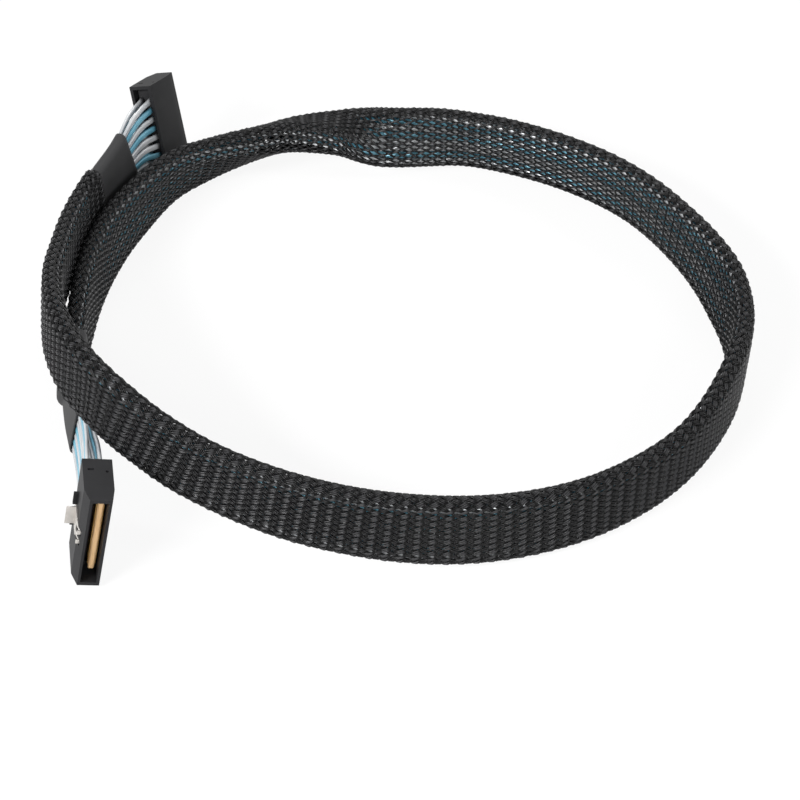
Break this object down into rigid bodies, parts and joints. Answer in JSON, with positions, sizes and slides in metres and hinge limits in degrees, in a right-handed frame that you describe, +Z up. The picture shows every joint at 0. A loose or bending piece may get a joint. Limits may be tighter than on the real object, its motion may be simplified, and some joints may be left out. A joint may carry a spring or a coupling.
{
  "type": "mcio cable",
  "caption": "Flat braided internal computer cable stood on edge as a hoop, with a slim latched edge-card plug at each end.",
  "frame": {"origin": "on the surface the cable stands on, under the middle of its outline", "axes": "+Z up; the hoop's front faces -Y and both plugs lie on its -X side"},
  "size_m": [0.1896, 0.1832, 0.0412],
  "materials": {
    "braid": "satin black monofilament braid",
    "shrink": "matte black heat-shrink tube",
    "wire_silver": "silver-grey foil jacket over a copper pair",
    "wire_blue": "light blue jacket over a copper pair",
    "housing": "fine matte moulded black plastic",
    "overmould": "matte black moulding",
    "board": "bare tan circuit board edge",
    "gold": "gold plate",
    "steel": "plain stainless spring steel"
  },
  "bodies": {
    "cable": {"braided_sleeve": "braid", "heat_shrink_a": "shrink", "heat_shrink_b": "shrink", "plug_a_contacts_latch_side": "gold", "plug_a_contacts_plain_side": "gold", "plug_a_housing": "housing", "plug_a_overmould": "overmould", "plug_a_paddle_card": "board", "plug_b_contacts_latch_side": "gold", "plug_b_contacts_plain_side": "gold", "plug_b_housing": "housing", "plug_b_overmould": "overmould", "plug_b_paddle_card": "board", "twinax_lower_1": "wire_silver", "twinax_lower_2": "wire_silver", "twinax_lower_3": "wire_blue", "twinax_lower_4": "wire_silver", "twinax_lower_5": "wire_silver", "twinax_lower_6": "wire_silver", "twinax_lower_7": "wire_blue", "twinax_lower_8": "wire_silver", "twinax_upper_1": "wire_silver", "twinax_upper_2": "wire_silver", "twinax_upper_3": "wire_blue", "twinax_upper_4": "wire_silver", "twinax_upper_5": "wire_silver", "twinax_upper_6": "wire_silver", "twinax_upper_7": "wire_blue", "twinax_upper_8": "wire_silver"},
    "latch_a": {"plug_a_latch": "steel"},
    "latch_b": {"plug_b_latch": "steel"}
  },
  "joints": [
    {"name": "latch_a_press", "type": "hinge", "parent": "cable", "child": "latch_a", "pos_m": [-0.07532, 0.07346, 0.01917], "axis": [0.1713, -0.3344, -0.9267], "range_deg": [0, 3], "stiffness_Nm_per_rad": 0.05},
    {"name": "latch_b_press", "type": "hinge", "parent": "cable", "child": "latch_b", "pos_m": [-0.07745, -0.07972, 0.0159], "axis": [0.2052, 0.0336, 0.9781], "range_deg": [0, 3], "stiffness_Nm_per_rad": 0.05}
  ]
}
